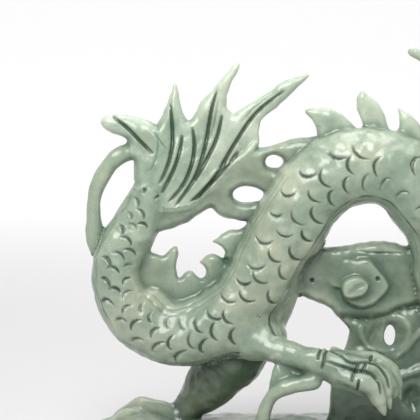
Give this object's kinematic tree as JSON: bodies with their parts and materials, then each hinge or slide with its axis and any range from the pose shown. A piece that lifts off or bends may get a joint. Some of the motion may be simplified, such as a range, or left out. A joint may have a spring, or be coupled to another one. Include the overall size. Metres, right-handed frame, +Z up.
{
  "type": "carved jade dragon figurine",
  "caption": "Carved pale green jade dragon, its coiled scaly body, flame tail, clawed feet and horned head resting on a low cloud base with a flat underside",
  "frame": {"origin": "centre of the cloud base's underside, on the surface that the figurine stands on", "axes": "+X runs along the dragon from tail to head, +Y from the front of the carving to its back, +Z up"},
  "size_m": [0.258, 0.072, 0.1827],
  "materials": {
    "jade_trunk": "polished",
    "jade_tail": "polished",
    "jade_fins": "polished",
    "jade_limbs": "polished",
    "jade_head": "polished",
    "jade_cloud": "satin"
  },
  "bodies": {
    "root": {"arch_fin_1": "jade_fins", "arch_fin_2": "jade_fins", "arch_fin_3": "jade_fins", "back_arch": "jade_trunk", "back_fall": "jade_trunk", "back_rise": "jade_trunk", "beard": "jade_head", "chest_bend": "jade_trunk", "cloud_base": "jade_cloud", "cloud_mound_1": "jade_cloud", "cloud_mound_2": "jade_cloud", "cloud_mound_3": "jade_cloud", "cloud_mound_4": "jade_cloud", "cloud_scroll": "jade_cloud", "cloud_stem": "jade_cloud", "cloud_under_chest": "jade_cloud", "fall_fin_1": "jade_fins", "fall_fin_2": "jade_fins", "fore_foot_far": "jade_limbs", "fore_foot_near_palm": "jade_limbs", "fore_foot_near_toe_1": "jade_limbs", "fore_foot_near_toe_2": "jade_limbs", "fore_foot_near_toe_3": "jade_limbs", "fore_leg_far": "jade_limbs", "fore_leg_near": "jade_limbs", "front_comb_1": "jade_fins", "heel_spur": "jade_limbs", "hind_foot_far": "jade_limbs", "hind_foot_near_palm": "jade_limbs", "hind_foot_near_toe_1": "jade_limbs", "hind_foot_near_toe_2": "jade_limbs", "hind_foot_near_toe_3": "jade_limbs", "hind_leg_far": "jade_limbs", "hind_leg_near": "jade_limbs", "horn_far": "jade_head", "horn_near": "jade_head", "lower_jaw": "jade_head", "mane_lock_1": "jade_head", "mane_lock_2": "jade_head", "mane_lock_3": "jade_head", "mane_lock_4": "jade_head", "neck": "jade_trunk", "neck_fin_1": "jade_fins", "neck_fin_2": "jade_fins", "rear_bend": "jade_trunk", "rear_comb_1": "jade_fins", "rear_comb_2": "jade_fins", "rear_comb_3": "jade_fins", "rear_comb_4": "jade_fins", "skull": "jade_head", "tail_curl": "jade_tail", "tail_flame_left": "jade_tail", "tail_flame_right": "jade_tail", "tail_flame_short": "jade_tail", "tail_flame_tall": "jade_tail", "tail_root": "jade_trunk", "tail_web": "jade_tail", "tongue": "jade_head", "whisker_far": "jade_head", "whisker_near": "jade_head"}
  },
  "joints": []
}
